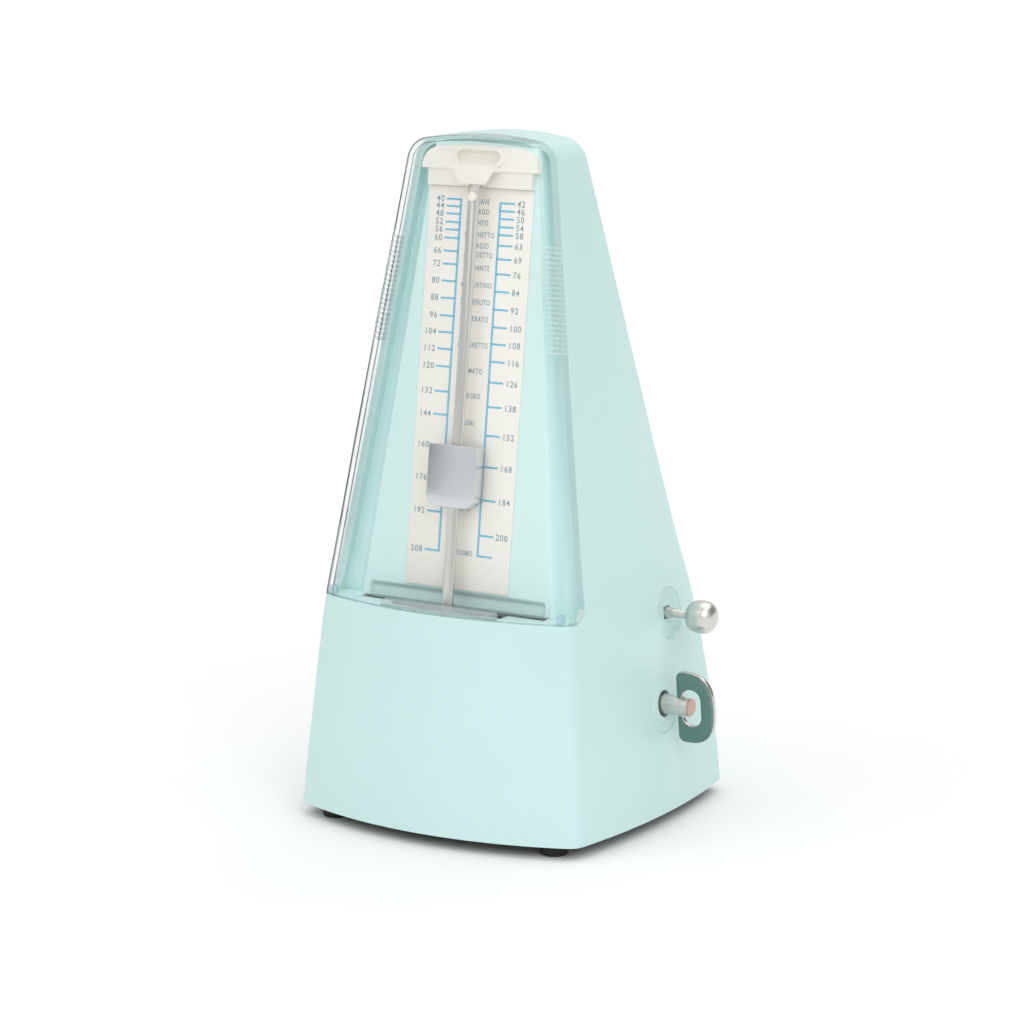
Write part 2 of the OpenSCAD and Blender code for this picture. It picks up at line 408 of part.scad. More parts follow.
// ---- pendulum ----
module pendulum_staff() color(steel) staff_frame() rotate([-90, 0, 0]) { translate([0, 0, -2]) cylinder(h = 34.4, r = 1.5, $fn = 32); translate([0, 0, 0.6]) difference() { cylinder(h = 3, r = 3.2, $fn = 32); } }
module pallets() color(steel) staff_frame() difference() {
  union() {
    translate([0, 19.2, 0]) rotate([-90, 0, 0]) cylinder(h = 4, r = 2.4, $fn = 32);
    for (s = [-1, 1]) translate([s > 0 ? 1.6 : -3.2, 19.9, -2.9]) cube([1.6, 2.6, 4]);
  }
  rotate([-90, 0, 0]) cylinder(h = 60, r = 1.5, $fn = 32);
}
rod_top = 157.4;
module pendulum_rod() color(steel) staff_frame() difference() {
  translate([0, rod_t/2, 0]) rotate([90, 0, 0]) linear_extrude(height = rod_t) polygon(concat(
    [[rod_w/2, -36], [rod_w/2, rod_top - 1], [rod_w/2 - 1, rod_top], [-rod_w/2 + 1, rod_top], [-rod_w/2, rod_top - 1]],
    [for (k = [38:-1:0]) let(zq = 38 + 2.9*k) each [[-rod_w/2, zq + 0.5], [-rod_w/2 + 0.4, zq], [-rod_w/2, zq - 0.5]]], [[-rod_w/2, -36]]));
  translate([0, -5, 0]) rotate([-90, 0, 0]) cylinder(h = 12, r = 1.5, $fn = 32);
  translate([0, -5, 151.6]) rotate([-90, 0, 0]) cylinder(h = 12, r = 0.8, $fn = 24);
}
module rod_rivet() color(ivory) staff_frame() translate([0, 0, 151.6]) rotate([-90, 0, 0]) { translate([0, 0, -rod_t/2 - 0.7]) cylinder(h = 0.7, r = 1.4, $fn = 32); translate([0, 0, -rod_t/2]) cylinder(h = rod_t + 0.5, r = 0.8, $fn = 24); }
module counterweight() color(dark) staff_frame() difference() {
  translate([0, -4.3, -24]) rotate([-90, 0, 0]) cylinder(h = 11.5, r = cw_d/2, $fn = 64);
  translate([-rod_w/2, -rod_t/2, -60]) cube([rod_w, rod_t, 80]);
}
bob_z = 56.7;   // height of the bob's lower edge above the pivot, along the rod
module bob() color(steel) staff_frame() difference() {
  translate([0, 3.1, 0]) rotate([90, 0, 0]) linear_extrude(height = 5.8) union() {
    translate([-bob_w/2, bob_z + 4]) square([bob_w, bob_h - 4]);
    translate([-bob_w/2 + 4, bob_z]) square([bob_w - 8, 5]);
    for (s = [-1, 1]) translate([s*(bob_w/2 - 4), bob_z + 4]) circle(r = 4, $fn = 48);
  }
  translate([-rod_w/2 - 0.15, -rod_t/2 - 0.15, bob_z - 5]) cube([rod_w + 0.3, rod_t + 0.3, bob_h + 10]);
  translate([-4, rod_t/2, bob_z + 3]) cube([8, 4, bob_h - 6]);
}
module bob_clip() color(gold) staff_frame() difference() { translate([-3.9, 1.8, bob_z + 3.1]) cube([7.8, 0.5, bob_h - 6.2]); }

case_shell();
dial_panel();
scale_plate();
rod_holder();
clear_cover();
base_plate();
rubber_feet();
base_screws();
movement_plate_left();
movement_plate_right();
movement_pillars();
pillar_screws();
plate_screws();
staff_bracket_front();
staff_bracket_rear();
bracket_screws();
bell();
bell_post();
bell_nut();
cam_cock();
cam_cock_posts();
click();
click_stud();
click_spring();
detent_spring();
winding_arbor();
ratchet_wheel();
key_stem();
key_blade();
key_cap();
barrel_drum();
barrel_cover();
great_wheel();
mainspring();
second_arbor();
second_wheel();
escape_arbor();
escape_wheel();
cam_arbor();
cam_stack();
selector_rod();
selector_knob();
hammer_collars();
hammer_arm();
hammer_head();
pendulum_staff();
pallets();
pendulum_rod();
rod_rivet();
counterweight();
bob();
bob_clip();
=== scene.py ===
import bpy, bmesh, math
import numpy as np
from mathutils import Vector, Matrix


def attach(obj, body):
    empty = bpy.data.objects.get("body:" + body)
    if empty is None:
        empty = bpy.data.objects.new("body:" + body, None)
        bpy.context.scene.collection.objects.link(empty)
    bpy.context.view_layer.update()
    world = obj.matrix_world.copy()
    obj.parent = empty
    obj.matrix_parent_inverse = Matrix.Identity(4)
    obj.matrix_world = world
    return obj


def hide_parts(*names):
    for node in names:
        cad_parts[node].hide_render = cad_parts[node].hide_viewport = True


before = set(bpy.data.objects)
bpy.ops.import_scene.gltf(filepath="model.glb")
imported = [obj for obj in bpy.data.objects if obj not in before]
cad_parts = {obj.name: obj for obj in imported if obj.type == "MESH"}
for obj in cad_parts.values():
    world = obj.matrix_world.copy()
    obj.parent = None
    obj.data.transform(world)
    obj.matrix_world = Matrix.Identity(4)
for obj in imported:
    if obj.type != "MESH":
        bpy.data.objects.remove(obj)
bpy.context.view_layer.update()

MM = 0.001
scene = bpy.context.scene
scene.view_settings.view_transform = "Standard"

# ------------------------------------------------------------------ camera
az, el = math.radians(31.345), math.radians(11.255)
back = Vector((math.sin(az)*math.cos(el), -math.cos(az)*math.cos(el), math.sin(el)))
cam_data = bpy.data.cameras.new("camera")
cam = bpy.data.objects.new("camera", cam_data)
scene.collection.objects.link(cam)
cam.location = (0.54456, -0.89551, 0.30321)
cam.rotation_euler = back.to_track_quat("Z", "Y").to_euler()
cam_data.sensor_width = 36
cam_data.lens = 3385.72/1024*36
cam_data.clip_start = 0.01
scene.camera = cam

# ------------------------------------------------------------------ case profile (mm)
W_T = [(0, 50.9), (3.5, 50.6), (20, 49.4), (40, 47.7), (60, 46), (71, 44.9), (85, 42.6), (100, 40.3), (120, 37.3), (140, 34.4), (160, 31.6), (180, 28.8), (200, 26), (218, 23.5)]
F_T = [(0, 47.3), (3.5, 47), (20, 45.7), (40, 44), (60, 42.3), (71, 41.2), (85, 39.9), (100, 38.2), (120, 36), (140, 33.4), (160, 30.6), (180, 27.6), (200, 24.8), (218, 22.3)]
R_T = [(0, 47), (3.5, 46.8), (20, 45.6), (40, 42.6), (60, 38.2), (71, 35.2), (85, 31.4), (100, 27.8), (120, 23.3), (140, 18.8), (160, 14.2), (180, 9.6), (200, 4.9), (218, 0.6)]
BF, BS, BR = 124.0, 250.0, 290.0
LEAN = math.radians(7.28)
CL, SL, T = math.cos(LEAN), math.sin(LEAN), math.tan(LEAN)
DY0 = -33.4 - T*87.2
SHELF = 71.0


def table(tab):
    x = np.array([p[0] for p in tab], float)
    y = np.array([p[1] for p in tab], float)
    m = np.gradient(y, x)
    def f(z):
        i = int(np.clip(np.searchsorted(x, z) - 1, 0, len(x) - 2))
        h = x[i + 1] - x[i]
        t = (z - x[i])/h
        return float((2*t**3 - 3*t*t + 1)*y[i] + (t**3 - 2*t*t + t)*h*m[i] + (3*t*t - 2*t**3)*y[i + 1] + (t**3 - t*t)*h*m[i + 1])
    return f


w_, f_, r_ = table(W_T), table(F_T), table(R_T)
ZC = 95 + math.sqrt(111.5**2 - 17.3**2)
A0 = math.atan2(ZC - 95, 17.3)


def arch_x(z):
    """half-width of the arched top at height z"""
    if z <= ZC:
        return 99.0
    zt = 95 + 120*math.sin(A0)
    if z < zt:
        return 17.3 + math.sqrt(max(0.0, 8.5**2 - (z - ZC)**2))
    return math.sqrt(max(0.0, 120**2 - (z - 95)**2))


def half(z, q=3.0, inset=0.0):
    """right half of the outline, from the middle of the front to the middle of the rear, evenly spaced; returns points"""
    q = max(1.2, q - inset)
    w, f, r = w_(z) - 0.89*inset, f_(z) - 0.72*inset, r_(z) - 0.87*inset
    h, m = (f + r)/2, (r - f)/2
    bf, bs, br = BF - inset, BS - inset, BR - inset
    sx = lambda y: w + math.sqrt(bs*bs - (y - m)**2) - math.sqrt(bs*bs - h*h)
    xm = sx(m)
    k = min(1.0, max(arch_x(z) - inset, 0)/xm)
    W = k*w
    fy = lambda x: -f - (math.sqrt(bf*bf - x*x) - math.sqrt(bf*bf - w*w))
    ry = lambda x: r + (math.sqrt(br*br - x*x) - math.sqrt(br*br - w*w))
    y0, y1 = fy(W), ry(W)
    qq = min(q, 0.42*(y1 - y0))
    qf = min(q, 0.6*W)
    pts = [(x, fy(x)) for x in np.linspace(0, W - qf, 60)]
    a, b, c = np.array(pts[-1]), np.array((W, y0)), np.array((k*sx(y0 + qq), y0 + qq))
    pts += [tuple((1-u)**2*a + 2*u*(1-u)*b + u*u*c) for u in np.linspace(0, 1, 25)[1:]]
    pts += [(k*sx(y), y) for y in np.linspace(y0 + qq, y1 - qq, 60)[1:]]
    a, b, c = np.array(pts[-1]), np.array((W, y1)), np.array((W - qf, ry(W - qf)))
    pts += [tuple((1-u)**2*a + 2*u*(1-u)*b + u*u*c) for u in np.linspace(0, 1, 25)[1:]]
    pts += [(x, ry(x)) for x in np.linspace(W - qf, 0, 60)[1:]]
    return np.array(pts), (59, 83, 142, 166)


def resample(p, n):
    """n points evenly spaced along the polyline p, ends kept"""
    d = np.r_[0, np.cumsum(np.hypot(*np.diff(p, axis=0).T))]
    if d[-1] < 1e-9:
        return np.repeat(p[:1], n, 0)
    s = np.linspace(0, d[-1], n)
    return np.c_[np.interp(s, d, p[:, 0]), np.interp(s, d, p[:, 1])]


def cut_y(z, o=0.0):
    """y of the edge where the case is cut away for the cover, set forward by o"""
    r = 6.0 - o
    ztan = 77 + r*math.sin(-LEAN)
    if z <= 77 - r:
        return -39.43
    if z < ztan:
        return -39.43 + math.sqrt(max(0.0, r*r - (z - 77)**2))
    return -39.43 + r*math.cos(LEAN) + (z - ztan)*T


def split_at(p, y):
    """index-free split of the right half at the side's y; returns (front part, rear part) sharing the point"""
    i = int(np.argmax(p[:, 1] >= y))
    # the front arc also rises towards the corner, so search from the corner on
    j = next(k for k in range(1, len(p)) if p[k, 1] >= y)
    t = (y - p[j-1, 1])/(p[j, 1] - p[j-1, 1])
    c = p[j-1] + t*(p[j] - p[j-1])
    return np.vstack([p[:j], c]), np.vstack([c, p[j:]])


# ------------------------------------------------------------------ mesh helpers
def new_obj(name, verts, faces, mat=None, merge=1e-5):
    me = bpy.data.meshes.new(name)
    me.from_pydata([tuple(float(c) for c in v) for v in verts], [], faces)
    me.validate()
    bm = bmesh.new(); bm.from_mesh(me)
    bmesh.ops.remove_doubles(bm, verts=bm.verts, dist=merge)
    bmesh.ops.recalc_face_normals(bm, faces=bm.faces)
    bm.to_mesh(me); bm.free()
    ob = bpy.data.objects.new(name, me)
    scene.collection.objects.link(ob)
    if mat:
        me.materials.append(mat)
    return ob


def bake(ob, angle=35, smooth=True):
    """applies every modifier and shades smooth, with edges sharper than the angle kept sharp"""
    dg = bpy.context.evaluated_depsgraph_get()
    me = bpy.data.meshes.new_from_object(ob.evaluated_get(dg))
    ob.modifiers.clear()
    old = ob.data
    ob.data = me
    me.name = ob.name
    bpy.data.meshes.remove(old)
    bm = bmesh.new(); bm.from_mesh(me)
    bmesh.ops.dissolve_degenerate(bm, dist=1e-7, edges=bm.edges)
    bm.to_mesh(me); bm.free()
    if smooth:
        me.polygons.foreach_set("use_smooth", [True]*len(me.polygons))
        me.set_sharp_from_angle(angle=math.radians(angle))
    return ob


def mod_bevel(ob, width, seg=2, angle=35, profile=0.5):
    m = ob.modifiers.new("b", "BEVEL")
    m.width = width; m.segments = seg; m.limit_method = "ANGLE"; m.angle_limit = math.radians(angle)
    m.profile = profile; m.use_clamp_overlap = True
    return m


def boolean(ob, cutter, op="DIFFERENCE"):
    m = ob.modifiers.new("x", "BOOLEAN"); m.object = cutter; m.operation = op; m.solver = "EXACT"
    bake(ob)
    bpy.data.objects.remove(cutter)


def grid_faces(rows, cols, closed=False):
    f = []
    for j in range(rows - 1):
        for i in range(cols - (0 if closed else 1)):
            a, b = j*cols + i, j*cols + (i + 1) % cols
            f.append((a, b, b + cols, a + cols))
    return f


def box_obj(name, lo, hi, mat=None):
    v = [(x, y, z) for x in (lo[0], hi[0]) for y in (lo[1], hi[1]) for z in (lo[2], hi[2])]
    f = [(0, 1, 3, 2), (4, 6, 7, 5), (0, 4, 5, 1), (2, 3, 7, 6), (0, 2, 6, 4), (1, 5, 7, 3)]
    return new_obj(name, np.array(v)*MM, f, mat)


def lathe(name, prof, mat=None, seg=64, M=Matrix.Identity(4)):
    """closed profile [(r, h)] in mm turned about local Z, then placed by M (in metres)"""
    v, n = [], len(prof)
    for k in range(seg):
        a = 2*math.pi*k/seg
        for r, h in prof:
            v.append(M @ Vector((r*math.cos(a)*MM, r*math.sin(a)*MM, h*MM)))
    f = []
    for k in range(seg):
        for i in range(n - 1):
            a, b = k*n + i, ((k + 1) % seg)*n + i
            f.append((a, b, b + 1, a + 1))
    return new_obj(name, v, f, mat)


def xform(pos, rot=Matrix.Identity(3)):
    return Matrix.Translation(Vector(pos)*MM) @ rot.to_4x4()


ROT_X = Matrix(((0, 0, 1), (1, 0, 0), (0, 1, 0)))   # local z -> +X
DIAL = Matrix(((1, 0, 0), (0, CL, SL), (0, -SL, CL)))   # dial frame -> row frame


def dial_pt(x, yq, zq):
    return (x, DY0 + yq*CL + zq*SL, -yq*SL + zq*CL)


def join(name, obs):
    verts, faces, mats, mi = [], [], [], []
    for o in obs:
        off = len(verts)
        verts += [tuple(v.co) for v in o.data.vertices]
        for p in o.data.polygons:
            faces.append([off + i for i in p.vertices])
            m = o.data.materials[p.material_index] if o.data.materials else None
            if m not in mats:
                mats.append(m)
            mi.append(mats.index(m))
    me = bpy.data.meshes.new(name)
    me.from_pydata(verts, [], faces)
    for m in mats:
        me.materials.append(m)
    me.polygons.foreach_set("material_index", mi)
    for o in obs:
        bpy.data.objects.remove(o)
    ob = bpy.data.objects.new(name, me)
    scene.collection.objects.link(ob)
    return ob


# ------------------------------------------------------------------ materials
def lin(c):
    return tuple((x/255/12.92 if x/255 <= 0.04045 else ((x/255 + 0.055)/1.055)**2.4) for x in c) + (1.0,)


class Mat:
    def __init__(self, name):
        self.m = bpy.data.materials.new(name)
        self.m.use_nodes = True
        self.t = self.m.node_tree
        self.b = self.t.nodes["Principled BSDF"]
        self.tc = self.t.nodes.new("ShaderNodeTexCoord")

    def set(self, **k):
        for a, v in k.items():
            self.b.inputs[a.replace("_", " ")].default_value = v
        return self

    def noise(self, scale, detail=4, rough=0.55, stretch=None):
        n = self.t.nodes.new("ShaderNodeTexNoise")
        n.inputs["Scale"].default_value = scale
        n.inputs["Detail"].default_value = detail
        n.inputs["Roughness"].default_value = rough
        if stretch:
            mp = self.t.nodes.new("ShaderNodeMapping")
            mp.inputs["Scale"].default_value = stretch
            self.t.links.new(self.tc.outputs["Object"], mp.inputs["Vector"])
            self.t.links.new(mp.outputs[0], n.inputs["Vector"])
        else:
            self.t.links.new(self.tc.outputs["Object"], n.inputs["Vector"])
        return n.outputs["Fac"]

    def ramp(self, src, lo, hi):
        r = self.t.nodes.new("ShaderNodeMapRange")
        r.inputs["From Min"].default_value = 0.3; r.inputs["From Max"].default_value = 0.7
        r.inputs["To Min"].default_value = lo; r.inputs["To Max"].default_value = hi
        self.t.links.new(src, r.inputs["Value"])
        return r.outputs["Result"]

    def rough(self, src, lo, hi):
        self.t.links.new(self.ramp(src, lo, hi), self.b.inputs["Roughness"])
        return self

    def colour(self, src, c1, c2):
        r = self.t.nodes.new("ShaderNodeValToRGB")
        r.color_ramp.elements[0].position = 0.3; r.color_ramp.elements[0].color = c1
        r.color_ramp.elements[1].position = 0.7; r.color_ramp.elements[1].color = c2
        self.t.links.new(src, r.inputs["Fac"])
        self.t.links.new(r.outputs["Color"], self.b.inputs["Base Color"])
        return self

    def bump(self, src, strength, dist):
        b = self.t.nodes.new("ShaderNodeBump")
        b.inputs["Strength"].default_value = strength
        b.inputs["Distance"].default_value = dist
        self.t.links.new(src, b.inputs["Height"])
        self.t.links.new(b.outputs["Normal"], self.b.inputs["Normal"])
        return self


mint = Mat("mint_plastic")
mint.colour(mint.noise(22, 3), lin((195, 225, 222)), lin((199, 228, 225)))
mint.rough(mint.noise(900, 3), 0.33, 0.42)
mint.bump(mint.noise(2600, 3), 0.10, 0.00005)
mint.set(Specular_IOR_Level=0.45, Coat_Weight=0.2, Coat_Roughness=0.22, Subsurface_Weight=0.08, Subsurface_Radius=(0.002, 0.003, 0.003))
panelm = Mat("mint_panel")
panelm.colour(panelm.noise(22, 3), lin((212, 240, 237)), lin((216, 243, 240)))
panelm.rough(panelm.noise(900, 3), 0.33, 0.42)
panelm.bump(panelm.noise(2600, 3), 0.10, 0.00005)
panelm.set(Specular_IOR_Level=0.45, Coat_Weight=0.2, Coat_Roughness=0.22, Subsurface_Weight=0.08, Subsurface_Radius=(0.002, 0.003, 0.003))
ivory = Mat("ivory_plastic")
ivory.colour(ivory.noise(40, 3), lin((243, 238, 230)), lin((247, 243, 236)))
ivory.rough(ivory.noise(700, 3), 0.42, 0.52)
ivory.bump(ivory.noise(2400, 2), 0.08, 0.00004)
ivory.set(Specular_IOR_Level=0.4, Subsurface_Weight=0.1, Subsurface_Radius=(0.003, 0.0025, 0.002))
def clear_mat(name, face, edge, haze=0.0, gloss=0.6, k0=0.70, k1=0.89):
    """clear plastic: straight-through walls, brighter by reflection where they are seen edge-on and darker there by
    painted shade in the see-through colour, in place of refraction
    """
    m = bpy.data.materials.new(name)
    m.use_nodes = True
    t = m.node_tree
    t.nodes.remove(t.nodes["Principled BSDF"])
    N, L = t.nodes.new, t.links.new
    out = t.nodes["Material Output"]
    lw = N("ShaderNodeLayerWeight"); lw.inputs["Blend"].default_value = 0.5
    # painted shade: the see-through colour runs from the face colour to the darker edge colour as a wall turns edge-on,
    # standing in for refraction
    rp = N("ShaderNodeValToRGB"); e = rp.color_ramp.elements
    e[0].position = 0.0; e[0].color = face
    e[1].position = 1.0; e[1].color = (edge[0]*0.3, edge[1]*0.3, edge[2]*0.3, 1)
    k = rp.color_ramp.elements.new(k0); k.color = tuple(c*0.985 for c in face[:3]) + (1,)
    k = rp.color_ramp.elements.new(k1); k.color = edge
    L(lw.outputs["Facing"], rp.inputs["Fac"])
    tr = N("ShaderNodeBsdfTransparent"); L(rp.outputs["Color"], tr.inputs["Color"])
    tc = N("ShaderNodeTexCoord"); nz = N("ShaderNodeTexNoise"); nz.inputs["Scale"].default_value = 45; nz.inputs["Detail"].default_value = 3
    L(tc.outputs["Object"], nz.inputs["Vector"])
    rr = N("ShaderNodeMapRange"); rr.inputs["To Min"].default_value = 0.02; rr.inputs["To Max"].default_value = 0.07
    L(nz.outputs["Fac"], rr.inputs["Value"])
    gl = N("ShaderNodeBsdfGlossy"); gl.inputs["Color"].default_value = (1, 1, 1, 1); L(rr.outputs["Result"], gl.inputs["Roughness"])
    pw = N("ShaderNodeMath"); pw.operation = "POWER"; pw.inputs[1].default_value = 4.5; L(lw.outputs["Facing"], pw.inputs[0])
    ma = N("ShaderNodeMath"); ma.operation = "MULTIPLY_ADD"; ma.inputs[1].default_value = gloss; ma.inputs[2].default_value = 0.035; L(pw.outputs[0], ma.inputs[0])
    mx = N("ShaderNodeMixShader"); L(ma.outputs[0], mx.inputs[0]); L(tr.outputs[0], mx.inputs[1]); L(gl.outputs[0], mx.inputs[2])
    if haze:
        df = N("ShaderNodeBsdfDiffuse"); df.inputs["Color"].default_value = (0.86, 0.93, 0.93, 1)
        hr = N("ShaderNodeMapRange"); hr.inputs["To Min"].default_value = haze*0.85; hr.inputs["To Max"].default_value = haze*1.15
        L(nz.outputs["Fac"], hr.inputs["Value"])
        m2 = N("ShaderNodeMixShader"); L(hr.outputs["Result"], m2.inputs[0]); L(mx.outputs[0], m2.inputs[1]); L(df.outputs[0], m2.inputs[2])
        L(m2.outputs[0], out.inputs["Surface"])
    else:
        L(mx.outputs[0], out.inputs["Surface"])
    return m


class _M:
    pass


# the second colour of each clear material is its edge-on colour; where darker than the face colour it is painted shade
# in place of refraction
clear = _M(); clear.m = clear_mat("clear_plastic", (0.993, 0.998, 0.998, 1), (0.42, 0.48, 0.50, 1))
frost = _M(); frost.m = clear_mat("clear_plastic_lip", (0.96, 0.985, 0.985, 1), (0.7, 0.78, 0.78, 1), 0.26)
ridgem = _M(); ridgem.m = clear_mat("clear_plastic_grip", (0.93, 0.96, 0.96, 1), (0.5, 0.56, 0.57, 1), 0.20)
barm = _M(); barm.m = clear_mat("clear_plastic_ribs", (0.88, 0.92, 0.93, 1), (0.5, 0.56, 0.57, 1), 0.34)
# painted shade: near-black edge colour for the rounded corner faces, a dark strip standing in for the corners
# refracting dark surroundings
corner_painted_shade_m = _M(); corner_painted_shade_m.m = clear_mat("clear_plastic_corner_painted_shade", (0.985, 0.993, 0.994, 1), (0.06, 0.10, 0.11, 1), 0.0, 0.2, 0.42, 0.70)
# painted highlight: white haze and a light edge colour on the rear rim faces, standing in for the bright line the rim
# catches
rim_painted_highlight_m = _M(); rim_painted_highlight_m.m = clear_mat("clear_plastic_rim_painted_highlight", (0.97, 0.99, 0.99, 1), (0.8, 0.86, 0.87, 1), 0.7)
lugm = _M(); lugm.m = clear_mat("clear_plastic_lug", (0.72, 0.86, 0.93, 1), (0.45, 0.6, 0.68, 1), 0.25)
rubber = Mat("black_rubber")
rubber.colour(rubber.noise(300, 4), lin((16, 16, 17)), lin((28, 28, 29)))
rubber.rough(rubber.noise(500, 4), 0.55, 0.75)
rubber.bump(rubber.noise(1800, 4), 0.3, 0.0001)
blackp = Mat("black_plastic")
blackp.colour(blackp.noise(60, 4), lin((28, 28, 30)), lin((36, 36, 38)))
blackp.rough(blackp.noise(800, 4), 0.45, 0.6)
blackp.bump(blackp.noise(2500, 3), 0.25, 0.00006)


def metal(name, c1, c2, r1, r2, scale=60, stretch=None, bump=0.05, aniso=0.0, mscale=900):
    m = Mat(name)
    m.set(Metallic=1.0, Anisotropic=aniso)
    m.colour(m.noise(scale, 4), lin(c1), lin(c2))
    m.rough(m.noise(mscale, 4, 0.6, stretch), r1, r2)
    m.bump(m.noise(mscale, 4, 0.6, stretch), bump, 0.00002)
    return m


zinc = metal("zinc_steel", (176, 180, 184), (196, 198, 200), 0.25, 0.4)
satin = metal("satin_nickel", (205, 203, 198), (216, 214, 209), 0.26, 0.36, stretch=(1, 1, 0.03), bump=0.06)
knobm = metal("satin_knob", (212, 210, 206), (220, 218, 214), 0.25, 0.31, bump=0.01, mscale=200)
rodm = metal("satin_rod", (222, 219, 214), (230, 227, 222), 0.30, 0.40, stretch=(1, 1, 0.02), bump=0.03)
bobm = metal("satin_chrome", (212, 215, 219), (220, 223, 226), 0.19, 0.25, bump=0.008, mscale=240)
# painted reflection: the key blade's face gets a dark grey-green base standing in for the dark and mint surroundings it
# reflects; the rim copy below is a lighter painted highlight
chrome = metal("chrome_painted_dark_reflection", (114, 137, 131), (122, 145, 139), 0.10, 0.16, bump=0.01)
blade_rim_highlight_m = metal("chrome_painted_rim_highlight", (206, 200, 196), (216, 211, 207), 0.10, 0.18, bump=0.01)
capm = metal("bare_end", (196, 168, 156), (206, 180, 168), 0.3, 0.42)
brass = metal("brass", (203, 166, 96), (214, 178, 108), 0.22, 0.36)
springm = metal("spring_steel", (86, 92, 104), (110, 116, 126), 0.25, 0.4)
iron = metal("cast_iron", (52, 53, 55), (66, 67, 69), 0.5, 0.7, bump=0.3)
blue = Mat("print_blue")
blue.colour(blue.noise(800, 3), lin((104, 184, 212)), lin((118, 194, 220)))
blue.rough(blue.noise(900, 2), 0.45, 0.55)
grey = Mat("print_grey")
grey.colour(grey.noise(800, 3), lin((122, 148, 156)), lin((136, 160, 167)))
grey.rough(grey.noise(900, 2), 0.45, 0.55)

# ------------------------------------------------------------------ case shell
NFRONT, NSIDE, NCOR, NREAR = 60, 34, 9, 40
lv_low = [4.1] + list(np.linspace(4.8, SHELF, 40))
fil = [77 - 6*math.cos(a) for a in np.linspace(0, math.pi/2 - LEAN, 12)][1:]
lv_up = fil + list(np.linspace(fil[-1], ZC, 72)[1:])
arch_a = list(np.linspace(0, A0, 12)[1:])
lv_arch = [ZC + 8.5*math.sin(a) for a in arch_a] + [math.sqrt(120**2 - x*x) + 95 for x in np.linspace(17.3 + 8.5*math.cos(A0), 0, 16)[1:]]


def back_cols(z, ycut):
    """right half, from the cut edge to the middle of the rear"""
    p, ix = half(z)
    fr, rr = split_at(p, ycut)
    nr = len(rr)
    k = len(p) - ix[2]            # points from the rear corner's start to the end
    k2 = len(p) - ix[3]
    s, c, e = rr[:nr - k + 1], rr[nr - k:nr - k2 + 1], rr[nr - k2:]
    if len(s) < 2:
        s = np.vstack([rr[0], rr[0]])
    return fr, np.vstack([resample(s, NSIDE), resample(c, NCOR)[1:], resample(e, NREAR)[1:]])


def mirror_loop(h):
    """right half [cut .. rear middle] -> whole open loop right cut .. rear .. left cut"""
    l = h[:-1][::-1]*np.array([-1, 1])
    return np.vstack([h, l])


rows_up, base_rows = [], []
for z in lv_low:
    fr, h = back_cols(z, cut_y(z))
    loop = mirror_loop(h)
    front = resample(fr, NFRONT)[:-1]                    # middle of the front .. just before the cut
    fl = np.vstack([front[1:][::-1]*np.array([-1, 1]), front])   # left .. right
    base_rows.append(np.c_[np.vstack([fl, loop]), np.full(len(fl) + len(loop), z)])
for z in [SHELF] + lv_up + lv_arch:
    fr, h = back_cols(z, cut_y(z))
    loop = mirror_loop(h)
    rows_up.append(np.c_[loop, np.full(len(loop), z)])
nb, nu = len(base_rows[0]), len(rows_up[0])
verts = np.vstack(base_rows + rows_up)
faces = grid_faces(len(base_rows), nb, closed=True)
off = len(base_rows)*nb
faces += [tuple(off + i for i in f) for f in grid_faces(len(rows_up), nu)]
case = new_obj("case_shell_fine", verts*MM, faces, mint.m, merge=4e-6)
m = case.modifiers.new("s", "SOLIDIFY"); m.thickness = 2.4*MM; m.offset = -1; m.use_even_offset = False; m.use_rim = True
mod_bevel(case, 0.45*MM, 3, 50)
bake(case, 40)


def cyl(name, r, x0, x1, y, z, tilt=0.0, seg=96):
    """a plain cutter along X"""
    R = Matrix.Rotation(tilt, 3, "Y") @ ROT_X
    return lathe(name, [(0, x0), (r, x0), (r, x1), (0, x1)], None, seg, xform((0, y, z), Matrix.Identity(3)) @ R.to_4x4())


def local_cyl(name, r, h0, h1, origin, tilt_deg, seg=96, inner=None):
    R = Matrix.Rotation(math.radians(-tilt_deg), 3, "Y") @ ROT_X
    if inner is None:
        prof = [(0, h0), (r, h0), (r, h1), (0, h1)]
    else:
        prof = inner
    return lathe(name, prof, None, seg, xform(origin, R))


# keyhole and dishes: cut with rounded-lip tools so that each edge has a radius
boolean(case, local_cyl("c", 9.5, -0.9, 6, (52.1, 5.5, 38), 4.9, inner=[(6.0, 6), (6.0, -0.15), (6.25, -0.75), (6.6, -0.9), (8.8, -0.9), (9.25, -0.75), (9.5, -0.3), (9.5, 0.1), (9.75, 0.45), (10.1, 0.9), (10.1, 6), (6.0, 6)]))
boolean(case, cyl("c", 4.25, 40, 60, 5.5, 38))
boolean(case, local_cyl("c", 8.35, -1.2, 6, (48, 15.2, 64.8), 4.9, inner=[(0, -1.2), (7.5, -1.2), (8.1, -1.0), (8.35, -0.5), (8.4, 0.05), (8.7, 0.45), (9.1, 0.9), (9.1, 6), (0, 6)]))
boolean(case, box_obj("c", (40, 13.2, 62.8), (60, 17.2, 66.8)))
mod_bevel(case, 0.16*MM, 2, 60)
bake(case, 38)
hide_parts("case_shell"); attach(case, "case")

# ------------------------------------------------------------------ clear cover
GAP = 0.3
NF, NS2 = 52, 16


def ridges(x, y, z, nx, ny):
    """height of the finger-grip ridges at a point on the cover"""
    zq = z*CL + (y - DY0)*SL
    yq = (y - DY0)*CL - z*SL
    side = min(1, max(0, (abs(nx) - 0.72)/0.12))*min(1, max(0, (0.4 - yq)/0.5))
    t = (zq - 151.8)/1.5
    if 0 <= t <= 22:
        return 0.30*side*max(0.0, math.sin(2*math.pi*(t % 1)))**0.8
    return 0.0


